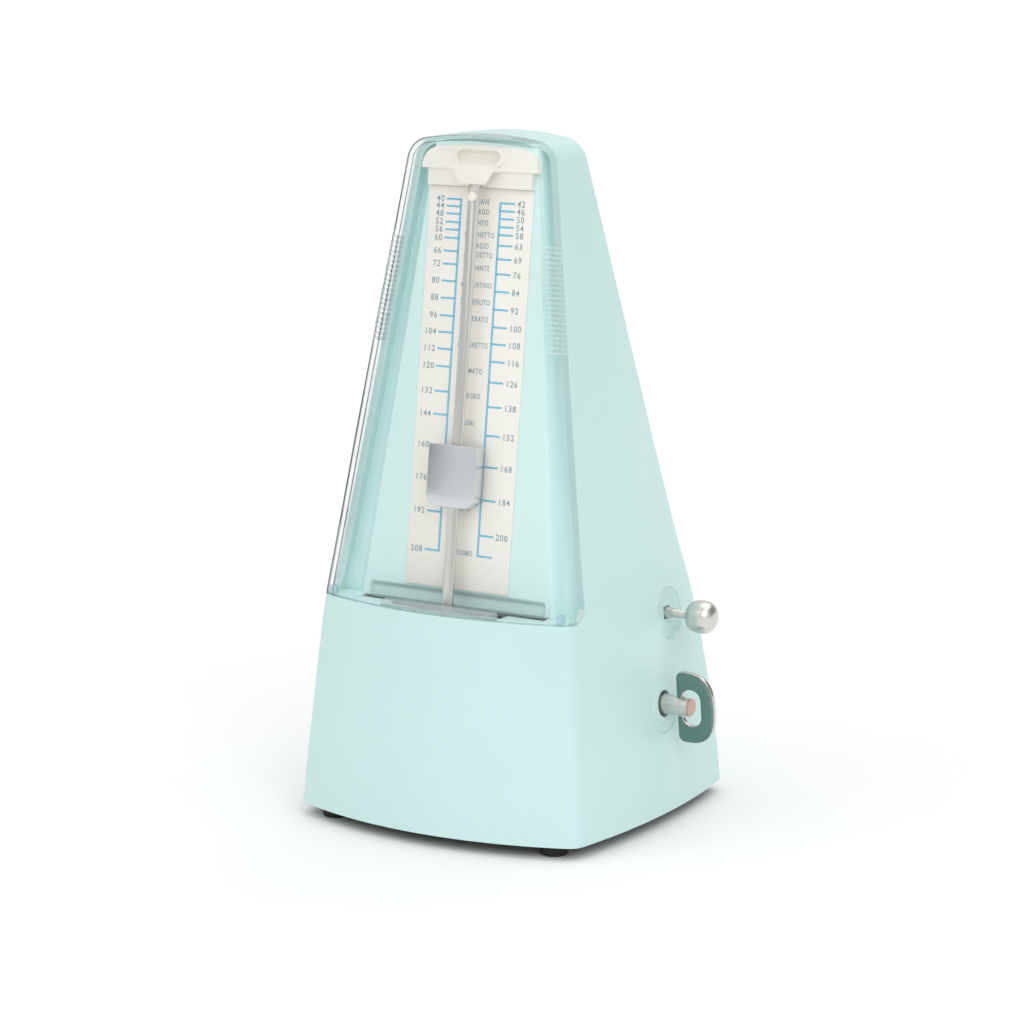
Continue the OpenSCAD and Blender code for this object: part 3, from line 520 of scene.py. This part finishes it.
fil2 = [77 - (6 - GAP)*math.cos(a) for a in np.linspace(0, math.pi/2 - LEAN, 14)]
z_lo, z_hi = 149.0, 185.0
lv = fil2 + list(np.linspace(fil2[-1], z_lo, 46)[1:]) + list(np.arange(z_lo + 0.24, z_hi, 0.24)) + list(np.linspace(z_hi, ZC, 16)[1:])
lv += [ZC + 8.5*math.sin(a) for a in arch_a]
xs_top = list(np.linspace(17.3 + 8.5*math.cos(A0), 0, 26)[1:])
lv_top = [(math.sqrt(120**2 - x*x) + 95, x) for x in xs_top]
rows = []


def cover_row(z):
    p, ix = half(z)
    fr, rr = split_at(p, cut_y(z, GAP))
    a = fr[:ix[0] + 1]
    b = fr[ix[0]:]
    h = np.vstack([resample(a, NF), resample(b, 24)[1:]])
    loop = np.vstack([h[1:][::-1]*np.array([-1, 1]), h])
    out = []
    nrm = np.gradient(loop, axis=0)
    for (x, y), (tx, ty) in zip(loop, nrm):
        L = math.hypot(tx, ty) or 1
        nx, ny = ty/L, -tx/L
        d = ridges(x, y, z, nx, ny)
        out.append((x + nx*d, y + ny*d, z))
    return np.array(out)


for z in lv:
    rows.append(cover_row(z))
for z, x in lv_top:
    rows.append(cover_row(z))
ncv = len(rows[0])
cover = new_obj("clear_cover_fine", np.vstack(rows)*MM, grid_faces(len(rows), ncv), clear.m, merge=2e-6)
m = cover.modifiers.new("s", "SOLIDIFY"); m.thickness = 1.65*MM; m.offset = -1; m.use_even_offset = False; m.use_rim = True
bake(cover, 40)
mod_bevel(cover, 0.25*MM, 2, 50)
bake(cover, 40)
for mm in (ridgem, corner_painted_shade_m, rim_painted_highlight_m):
    cover.data.materials.append(mm.m)
for pl in cover.data.polygons:
    cx, cy, cz = (c/MM for c in pl.center)
    zq, yq = cz*CL + (cy - DY0)*SL, (cy - DY0)*CL - cz*SL
    t = (zq - 151.8)/1.5
    if 0 <= t <= 22 and 0.03 < t % 1 < 0.47 and abs(pl.normal.x) > 0.55 and pl.normal.x*cx > 0 and yq < 0.35:
        pl.material_index = 1
        continue
    # painted shade: rounded corner faces get slot 2, the corner material with its near-black edge colour
    top = cz > ZC - 3
    rad = pl.normal.x*cx + (pl.normal.z*(cz - 95) if top else 0.0)
    nr = math.hypot(pl.normal.x, pl.normal.z if top else 0.0)
    if rad*pl.normal.y < 0 and 0.4 < nr < (0.8 if -1 < t < 23 or cz < 92 else 0.975):
        pl.material_index = 2
    # painted highlight: the rear rim faces along the cut edge get slot 3, the hazy white rim material
    elif 0.2 < pl.normal.y < 0.95 and pl.normal.x*cx > 0 and abs(cy - cut_y(cz, GAP)) < 0.4 and cz < ZC:
        pl.material_index = 3


def grip_bar(x0, ya, yb):
    """a half-round grip rib lying along Y on the arched top"""
    us = np.linspace(-1, 1, 9)
    ys = [ya + 0.36*(1 - math.cos(a)) for a in np.linspace(0, math.pi/2, 6)] + [yb - 0.36*(1 - math.cos(a)) for a in np.linspace(math.pi/2, 0, 6)]
    v, n = [], len(us)
    for lower in (False, True):
        for y in ys:
            e = min(1.0, (y - ya)/0.36, (yb - y)/0.36)
            e = math.sqrt(max(0.0, 1 - (1 - e)**2))
            for u in us:
                x = x0 + 0.36*u*max(e, 0.05)
                h = -0.02 if lower else 0.26*e*math.sqrt(max(0.0, 1 - u*u))
                v.append((x, y, 95 + math.sqrt(120**2 - x*x) + h))
    m = len(ys)
    f = grid_faces(m, n) + [tuple(n*m + i for i in q[::-1]) for q in grid_faces(m, n)]
    rim = [i for i in range(n)] + [j*n + n - 1 for j in range(1, m)] + [(m - 1)*n + i for i in range(n - 2, -1, -1)] + [j*n for j in range(m - 2, 0, -1)]
    f += [(rim[i], rim[(i + 1) % len(rim)], n*m + rim[(i + 1) % len(rim)], n*m + rim[i]) for i in range(len(rim))]
    return new_obj("gb", np.array(v)*MM, f, barm.m, merge=1e-7)


bars_top = [grip_bar(-12 + 1.5*i, a, b) for i in range(17) for a, b in ((-25.35, -22.0), (-21.25, -17.85))]
tongue = []
p71, _ = half(SHELF + 0.5, inset=1.75)
xs = np.linspace(-20.2, 20.2, 25)
yf = lambda x: -np.interp(abs(x), p71[:60, 0], -p71[:60, 1])
v = []
for zz in (SHELF + 0.47, SHELF + 1.87):
    for x in xs:
        v.append((x, yf(x) - 0.05, zz))
    for x in xs[::-1]:
        v.append((x, -43.1, zz))
n = len(xs)*2
f = [tuple(range(n))[::-1], tuple(range(n, 2*n))] + [(i, (i + 1) % n, n + (i + 1) % n, n + i) for i in range(n)]
shelf_lip = new_obj("t1", np.array(v)*MM, f, frost.m)
hook = box_obj("t2", (-20.2, -45.1, SHELF - 3.8), (20.2, -43.8, SHELF + 0.5), frost.m)
boolean(shelf_lip, hook, "UNION")
mod_bevel(shelf_lip, 0.2*MM, 2, 40); bake(shelf_lip, 40)
lugs = []
for s in (-1, 1):
    l = box_obj("l", (s*41.2 - 1, -42.0, SHELF + 0.55), (s*41.2 + 1, -39.7, SHELF + 3.2), lugm.m)
    mod_bevel(l, 0.25*MM, 2, 40); bake(l, 40)
    lugs.append(l)
cover = join("clear_cover_fine", [cover, shelf_lip] + lugs + bars_top)
cover.data.polygons.foreach_set("use_smooth", [True]*len(cover.data.polygons))
cover.data.set_sharp_from_angle(angle=math.radians(40))
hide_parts("clear_cover"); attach(cover, "cover")

f8 = [(0, 1, 3, 2), (4, 6, 7, 5), (0, 4, 5, 1), (2, 3, 7, 6), (0, 2, 6, 4), (1, 5, 7, 3)]

# ------------------------------------------------------------------ dial panel
def xp(zq):
    return 32.8 - 0.1184*(zq - 85.7)


prof_side = [(3.9, 5.0), (3.3, 4.93), (2.75, 4.6), (2.2, 4.0), (1.55, 2.9), (0.95, 1.75), (0.55, 1.1), (0.2, 0.72), (-0.2, 0.62), (-0.6, 0.6)]
zqs = [71.75, 72.6, 73.6, 74.4, 74.9, 75.15, 75.35, 75.55, 75.75, 75.95, 76.15, 76.4, 76.7, 77.1, 77.6] + list(np.linspace(78.5, 214.3, 64))


def inner_x(y, z):
    p, _ = half(z, inset=2.46)
    j = [i for i in range(59, len(p)) if p[i, 1] >= y]
    if not j:
        return 0
    j = j[0]
    t = (y - p[j-1, 1])/max(1e-9, p[j, 1] - p[j-1, 1])
    return p[j-1, 0] + t*(p[j, 0] - p[j-1, 0])


def smooth(t):
    t = min(1.0, max(0.0, t))
    return t*t*(3 - 2*t)


rows = []
for zq in zqs:
    x0 = xp(zq)
    y_edge = DY0 + 5*CL + zq*SL
    z_edge = -5*SL + zq*CL
    xo = max(inner_x(y_edge, min(z_edge, 212.2)), x0 + 0.2)
    k = x0/xp(73)
    cols = [(xo, 5.0)] + [(min(x0 + a, xo), b) for a, b in prof_side] + [(a*k, 0.6) for a in (32.3, 32.0, 31.8, 31.65, 31.5, 31.35, 31.2, 31.0, 30.7, 30.2, 29, 25, 20, 15, 10, 5)]
    full = cols + [(0, 0.6)] + [(-a, b) for a, b in cols[::-1]]
    row = []
    for a, b in full:
        d = smooth((31.9 - abs(a))/0.9)*smooth((76.6 - zq)/1.9) if zq < 77 else 0.0
        row.append(dial_pt(a, b + 1.5*d, zq))
    rows.append(row)
nc = len(rows[0])
panel = new_obj("dial_face", np.array(rows).reshape(-1, 3)*MM, grid_faces(len(rows), nc), panelm.m)
ny = sum(p.normal.y*p.area for p in panel.data.polygons)
m = panel.modifiers.new("s", "SOLIDIFY"); m.thickness = 2.0*MM; m.offset = -1 if ny < 0 else 1; m.use_rim = True
bake(panel, 40)
# shelf with the pendulum slot
p_sh, _ = half(69.8, inset=2.46)
yb = DY0 + T*70 + 6.6
fr, rr = split_at(p_sh, yb)
fr = resample(fr, 70)
loop = np.vstack([fr[::-1]*np.array([-1, 1]), fr[1:]])
v = [(x, y, zz) for zz in (SHELF - 2.4, SHELF) for x, y in loop]
n = len(loop)
f = [tuple(range(n))[::-1], tuple(range(n, 2*n))] + [(i, (i + 1) % n, n + (i + 1) % n, n + i) for i in range(n)]
shelf = new_obj("dial_shelf", np.array(v)*MM, f, panelm.m)
boolean(shelf, box_obj("c", (-33.5, -38.2, 60), (33.5, -33.0, 80)))
boolean(shelf, box_obj("c", (-21, -45.6, 60), (21, -42.4, 80)))
boolean(shelf, box_obj("c", (-21, -40.9, 60), (21, -37.6, 80)))
boolean(shelf, box_obj("c", (-13.2, -43.2, 60), (13.2, -37.5, 80)))
boolean(shelf, box_obj("c", (-33.5, -33.4, 60), (33.5, -30.9, SHELF - 0.8)))
boolean(shelf, box_obj("c", (-20.9, -42.8, SHELF - 0.45), (20.9, -40.5, 80)))
mod_bevel(shelf, 0.18*MM, 2, 40); bake(shelf, 40)
dial = join("dial_panel_fine", [panel, shelf])
dial.data.polygons.foreach_set("use_smooth", [True]*len(dial.data.polygons))
dial.data.set_sharp_from_angle(angle=math.radians(38))
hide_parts("dial_panel"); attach(dial, "case")

# ------------------------------------------------------------------ bevelled copies of CAD pieces
def fine(node, body, mat, width=0.2, seg=2, angle=32, name=None):
    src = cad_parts[node]
    me = src.data.copy()
    me.materials.clear(); me.materials.append(mat.m)
    ob = bpy.data.objects.new(name or node + "_fine", me)
    scene.collection.objects.link(ob)
    bm = bmesh.new(); bm.from_mesh(me)
    bmesh.ops.remove_doubles(bm, verts=bm.verts, dist=2e-6)
    bmesh.ops.dissolve_limit(bm, angle_limit=math.radians(0.6), verts=bm.verts, edges=bm.edges)
    bmesh.ops.recalc_face_normals(bm, faces=bm.faces)
    bm.to_mesh(me); bm.free()
    if me.attributes.get("custom_normal"):
        me.attributes.remove(me.attributes["custom_normal"])
    if width:
        mod_bevel(ob, width*MM, seg, angle)
    bake(ob, 32)
    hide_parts(node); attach(ob, body)
    return ob


fine("rod_holder", "case", ivory, 0.3, 3)
fine("scale_plate", "case", ivory, 0.12, 2)
fine("pendulum_rod", "pendulum", rodm, 0.1, 2)
bobs = [fine("bob", "bob_slider", bobm, 0.45, 3), fine("bob_clip", "bob_slider", brass, 0.05, 1)]
rod_d = [v.co.y*CL - v.co.z*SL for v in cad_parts["pendulum_rod"].data.vertices]
rod_mid = (min(rod_d) + max(rod_d))/2
for o in bobs:                       # the weight is thinner behind the rod
    for v in o.data.vertices:
        d = v.co.y*CL - v.co.z*SL - rod_mid - 0.0007
        if d > 0:
            v.co.y -= 0.6*d*CL
            v.co.z += 0.6*d*SL
    o.data.update()
fine("key_stem", "winder", satin, 0.22, 3)
blade = fine("key_blade", "winder", chrome, 0.28, 3)
blade.data.materials.append(blade_rim_highlight_m.m)
# painted highlight: blade faces turned away from the face normal (the rims) get the lighter copy of the chrome
na = Vector((0, -math.cos(math.radians(7)), -math.sin(math.radians(7))))
for pl in blade.data.polygons:
    if abs(pl.normal.dot(na)) < 0.93:
        pl.material_index = 1
fine("selector_rod", "selector", satin, 0.1, 2)

# ------------------------------------------------------------------ materials for the carried-over nodes
look = {"zinc": (zinc, ["base_screws", "pillar_screws", "plate_screws", "staff_bracket_front", "staff_bracket_rear", "bracket_screws", "bell_post", "bell_nut", "click", "click_stud", "winding_arbor", "ratchet_wheel", "second_arbor", "escape_arbor", "cam_arbor", "hammer_arm", "pendulum_staff", "pallets"]),
        "brass": (brass, ["movement_plate_left", "movement_plate_right", "movement_pillars", "bell", "cam_cock", "cam_cock_posts", "barrel_drum", "barrel_cover", "great_wheel", "second_wheel", "escape_wheel", "cam_stack", "hammer_collars", "hammer_head"]),
        "spring": (springm, ["click_spring", "detent_spring", "mainspring"]),
        "iron": (iron, ["counterweight"]), "black": (blackp, ["base_plate"]), "rubber": (rubber, ["rubber_feet"]),
        "cap": (capm, ["key_cap"]), "knob": (knobm, ["selector_knob"]), "ivory": (ivory, ["rod_rivet"])}
for mat, nodes in look.values():
    for nd in nodes:
        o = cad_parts[nd]
        o.data.materials.clear()
        o.data.materials.append(mat.m)

# ------------------------------------------------------------------ knob, feet
hs = [-4.4 + 9.33*(1 - (1 - j/46)**1.9) for j in range(47)]
sup = lambda h: 5.24*max(0.0, 1 - (abs(h)/4.96)**2.5)**0.4
knob_prof = [(0, -3.9), (1.6, -3.9), (1.75, -4.2), (2.75, -4.4), (2.98, -4.36)] + [(sup(h), h) for h in hs[1:]] + [(0.0, 4.94)]
knob = lathe("selector_knob_fine", knob_prof, knobm.m, 80, xform((59.2, 15.2, 64.8), ROT_X))
bake(knob, 40)
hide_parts("selector_knob"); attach(knob, "selector")
feet = []
for sx in (-1, 1):
    for sy in (-1, 1):
        feet.append(lathe("ft", [(0, 0.35), (2.6, 0.35), (2.9, 0.0), (3.7, 0.0), (4.05, 0.12), (4.25, 0.45), (4.3, 0.9), (4.3, 2.7), (4.1, 3.0), (4.1, 3.5), (0, 3.5)], rubber.m, 56, xform((sx*40, sy*42.5, 0))))
feet = join("rubber_feet_fine", feet)
bake(feet, 40)
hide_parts("rubber_feet"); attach(feet, "case")

# ------------------------------------------------------------------ print on the scale
ZK = 1/CL
left = [(40, 198.5), (44, 205.6), (48, 213.1), (52, 221.4), (56, 229), (60, 237.3), (66, 250.3), (72, 263.3), (80, 280.3), (88, 297.4), (96, 315), (104, 331.6), (112, 348.4), (120, 365.9), (132, 390.9), (144, 414.1), (160, 445.4), (176, 478.4), (192, 511.8), (208, 551)]
right = [(42, 204.1), (46, 211.8), (50, 219.6), (54, 227.7), (58, 235.5), (63, 246.1), (69, 259.6), (76, 274.5), (84, 292), (92, 309.8), (100, 327.5), (108, 344.3), (116, 361.8), (126, 382.5), (138, 407), (152, 435.8), (168, 467.3), (184, 500.8), (200, 536.4)]
zl = lambda v: np.interp(v, [198.5, 551], [194.8, 87.4])
zr = lambda v: np.interp(v, [204.1, 557.3], [194.4, 87.2])
words = [("GRAVE", 200), ("LARGO", 211), ("LENTO", 222), ("LARGHETTO", 234), ("ADAGIO", 245), ("ADAGIETTO", 254), ("ANDANTE", 267), ("ANDANTINO", 284), ("SOSTENUTO", 301), ("MODERATO", 318), ("ALLEGRETTO", 344), ("ANIMATO", 370), ("ALLEGRO", 395), ("ASSAI", 422), ("VIVACE", 468), ("PRESTO", 508), ("PRESTISSIMO", 553)]
FY = -0.02      # print stands this far in front of the plate's face


def dial_box(x0, x1, z0, z1, y=FY):
    """a thin printed bar; z in mm up the dial"""
    v = [dial_pt(x, yy, zz) for x in (x0, x1) for yy in (y, 0.005) for zz in (z0, z1)]
    return v


def bars(name, lst, mat):
    v, f = [], []
    for b in lst:
        o = len(v)
        v += dial_box(*b)
        f += [tuple(o + i for i in q) for q in f8]
    return new_obj(name, np.array(v)*MM, f, mat, merge=1e-9)


bl = [(-7.05 - 0.37, -7.05 + 0.37, 87.4*ZK - 0.31, 194.8*ZK + 0.31), (7.05 - 0.37, 7.05 + 0.37, 87.2*ZK - 0.31, 194.4*ZK + 0.31)]
for n_, v_ in left:
    z0 = float(zl(v_))*ZK
    bl.append((-7.05 - 5.2, -7.05, z0 - 0.31, z0 + 0.31))
for n_, v_ in right + [(208, 557.3)]:
    z0 = float(zr(v_))*ZK
    bl.append((7.05, 7.05 + 5.2, z0 - 0.31, z0 + 0.31))


def text_mesh(s, size, x, zq, align, mat, squeeze=1.0, bold=0.0):
    cu = bpy.data.curves.new("t", "FONT")
    cu.body = s; cu.size = size; cu.align_x = align; cu.align_y = "CENTER"
    cu.extrude = 0.012; cu.offset = bold; cu.space_character = 1.16; cu.resolution_u = 3
    o = bpy.data.objects.new("t", cu)
    scene.collection.objects.link(o)
    dg = bpy.context.evaluated_depsgraph_get()
    me = bpy.data.meshes.new_from_object(o.evaluated_get(dg))
    bpy.data.objects.remove(o)
    vs = [dial_pt(x + v.co.x*squeeze, -v.co.z - 0.008, zq + v.co.y) for v in me.vertices]
    fs = [tuple(p.vertices) for p in me.polygons]
    ob = bpy.data.objects.new("t", bpy.data.meshes.new("t"))
    ob.data.from_pydata([tuple(c*MM for c in q) for q in vs], [], fs)
    scene.collection.objects.link(ob)
    ob.data.materials.append(mat)
    return ob


txt = []
for n_, v_ in left:
    txt.append(text_mesh(str(n_), 2.7, -13.1, float(zl(v_))*ZK - 0.1, "RIGHT", grey.m, 0.95, 0.035))
for n_, v_ in right:
    txt.append(text_mesh(str(n_), 2.7, 13.1, float(zr(v_))*ZK - 0.1, "LEFT", grey.m, 0.95, 0.035))
for s_, v_ in words:
    txt.append(text_mesh(s_, 2.3, 0.3, float(zr(v_ + 3.0))*ZK, "CENTER", grey.m, min(0.72, 12.6/(len(s_)*2.3*0.78)), 0.03))
prn_g = join("scale_numbers", txt)
bm = bmesh.new(); bm.from_mesh(prn_g.data); bmesh.ops.remove_doubles(bm, verts=bm.verts, dist=1e-7); bmesh.ops.recalc_face_normals(bm, faces=bm.faces); bm.to_mesh(prn_g.data); bm.free()
prn_b = bars("scale_lines", bl, blue.m)
for o in (prn_g, prn_b):
    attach(o, "case")

# ------------------------------------------------------------------ floor, lights, world
fl = bpy.data.meshes.new("floor")
fl.from_pydata([(-15, -15, 0), (15, -15, 0), (15, 15, 0), (-15, 15, 0)], [], [(0, 1, 2, 3)])
floor = bpy.data.objects.new("floor", fl)
scene.collection.objects.link(floor)
fm = Mat("floor_white")
fm.colour(fm.noise(6, 2), (0.885, 0.885, 0.885, 1), (0.9, 0.9, 0.9, 1))
fm.set(Roughness=0.8, Specular_IOR_Level=0.1)
fl.materials.append(fm.m)

world = bpy.data.worlds.new("world")
scene.world = world
world.use_nodes = True
wt = world.node_tree
bg = wt.nodes["Background"]
tc = wt.nodes.new("ShaderNodeTexCoord")


def lobe(d, lo, hi):
    """1 outside, 0 inside a soft patch of the surroundings around direction d"""
    dp = wt.nodes.new("ShaderNodeVectorMath"); dp.operation = "DOT_PRODUCT"
    dp.inputs[1].default_value = tuple(Vector(d).normalized())
    wt.links.new(tc.outputs["Generated"], dp.inputs[0])
    mr = wt.nodes.new("ShaderNodeMapRange"); mr.interpolation_type = "SMOOTHSTEP"
    mr.inputs["From Min"].default_value = hi; mr.inputs["From Max"].default_value = lo
    wt.links.new(dp.outputs["Value"], mr.inputs["Value"])
    return mr.outputs["Result"]


prod = None
for d, lo, hi in (((-0.95, -0.25, 0.12), 0.72, 0.93), ((0.75, 0.65, 0.35), 0.80, 0.95), ((0.1, -0.5, 0.95), 0.90, 0.985)):
    o = lobe(d, lo, hi)
    if prod is None:
        prod = o
    else:
        mu = wt.nodes.new("ShaderNodeMath"); mu.operation = "MULTIPLY"
        wt.links.new(prod, mu.inputs[0]); wt.links.new(o, mu.inputs[1])
        prod = mu.outputs[0]
rp = wt.nodes.new("ShaderNodeValToRGB")
rp.color_ramp.elements[0].position = 0.0; rp.color_ramp.elements[0].color = (0.34, 0.355, 0.355, 1)
rp.color_ramp.elements[1].position = 1.0; rp.color_ramp.elements[1].color = (1, 1, 1, 1)
wt.links.new(prod, rp.inputs["Fac"])
wt.links.new(rp.outputs["Color"], bg.inputs["Color"])
bg.inputs["Strength"].default_value = 0.79


def sun(name, d, strength, angle):
    l = bpy.data.lights.new(name, "SUN"); l.energy = strength; l.angle = math.radians(angle)
    o = bpy.data.objects.new(name, l); scene.collection.objects.link(o)
    o.rotation_euler = Vector(d).to_track_quat("Z", "Y").to_euler()
    o.location = Vector(d).normalized()*2


sun("key_light", (0.68, -0.68, 0.75), 0.80, 45)
sun("fill_light", (-0.5, -0.6, 0.9), 0.55, 60)
sun("top_light", (0.2, 0.3, 1.0), 0.7, 60)
